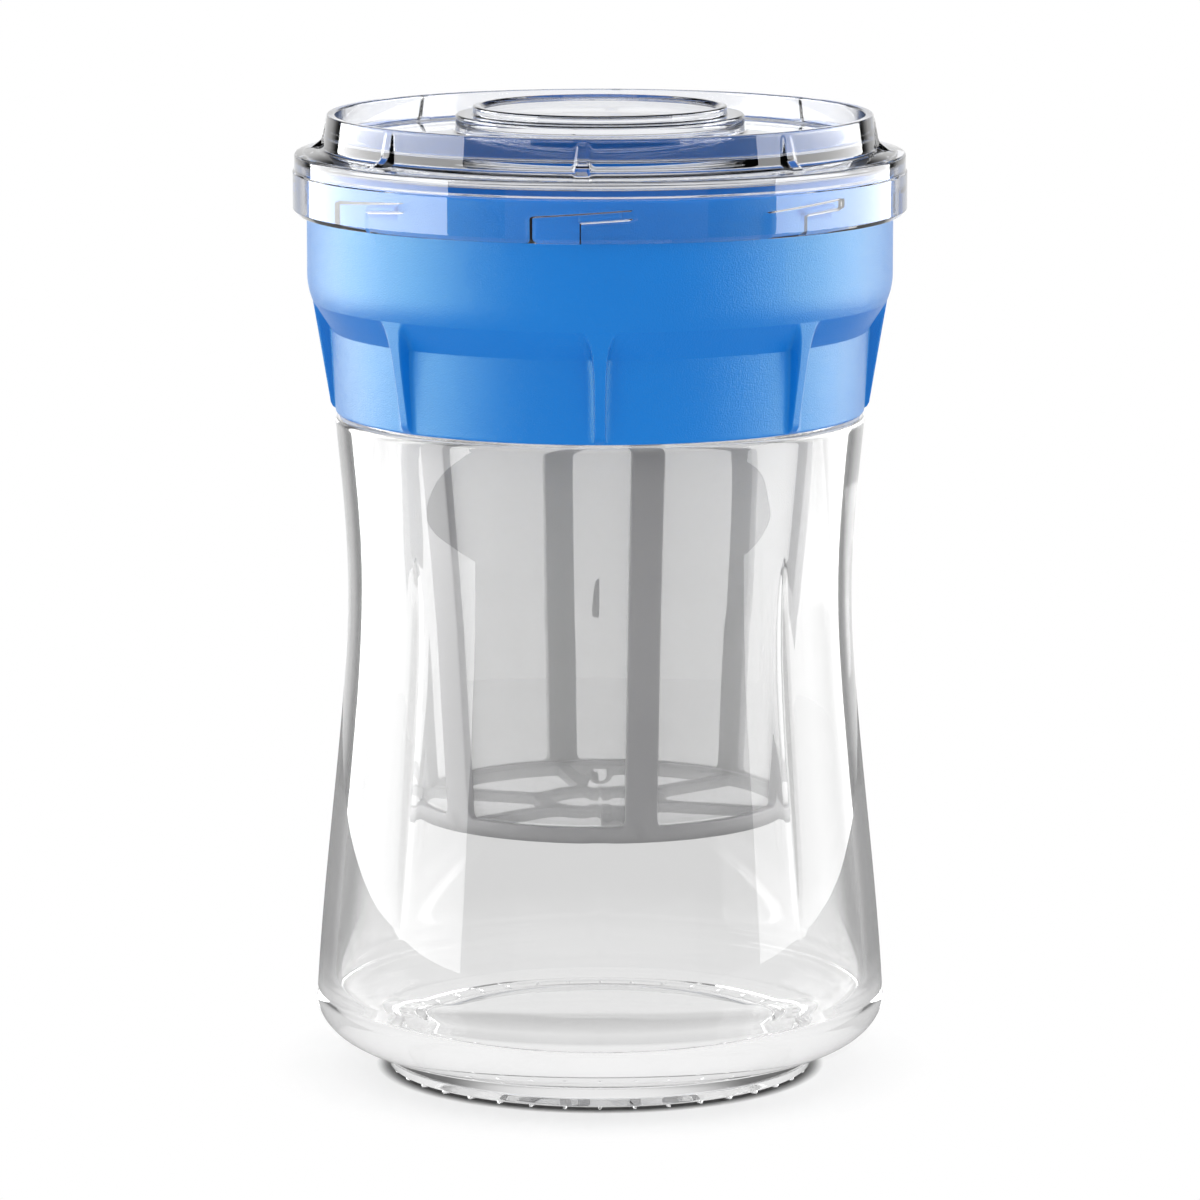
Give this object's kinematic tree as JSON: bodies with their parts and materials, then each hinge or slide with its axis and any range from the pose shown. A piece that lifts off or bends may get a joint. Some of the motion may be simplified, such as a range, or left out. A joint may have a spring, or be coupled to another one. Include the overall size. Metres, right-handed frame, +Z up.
{
  "type": "soft cheese maker",
  "caption": "Waisted glass jar with a blue ribbed plastic collar, a hanging mesh strainer basket and a clear twist-on lid, for draining soft cheese or yoghurt.",
  "frame": {"origin": "centre of the jar's foot, on the surface the jar stands on", "axes": "+Z up along the jar's axis; the front, with the blank area of the broken flute, faces -Y; +X to the right seen from the front"},
  "size_m": [0.1102, 0.1102, 0.1754],
  "materials": {
    "glass": "clear pressed glass, smooth",
    "blue_plastic": "moulded opaque plastic, satin gloss",
    "clear_plastic": "clear moulded plastic, smooth",
    "strainer_plastic": "moulded grey plastic",
    "strainer_gauze": "fine woven mesh moulded into the frame",
    "silicone": "soft translucent silicone"
  },
  "bodies": {
    "jar": {"glass_jar": "glass"},
    "gasket": {"jar_gasket": "silicone"},
    "collar": {"collar": "blue_plastic"},
    "strainer": {"strainer_frame": "strainer_plastic", "strainer_wall_mesh": "strainer_gauze", "strainer_floor_mesh": "strainer_gauze"},
    "seal": {"lid_seal": "silicone"},
    "lid": {"clear_lid": "clear_plastic"}
  },
  "joints": [
    {"name": "collar_lift", "type": "slide", "parent": "jar", "child": "gasket", "axis": [0, 0, 1], "range_m": [0, 0.1]},
    {"name": "collar_turn", "type": "hinge", "parent": "gasket", "child": "collar", "pos_m": [0, 0, 0.1346], "axis": [0, 0, 1], "range_deg": [0, 45]},
    {"name": "strainer_lift", "type": "slide", "parent": "collar", "child": "strainer", "axis": [0, 0, 1], "range_m": [0, 0.12]},
    {"name": "lid_lift", "type": "slide", "parent": "strainer", "child": "seal", "axis": [0, 0, 1], "range_m": [0, 0.06]},
    {"name": "lid_turn", "type": "hinge", "parent": "seal", "child": "lid", "pos_m": [0, 0, 0.1639], "axis": [0, 0, 1], "range_deg": [0, 8.1]}
  ]
}
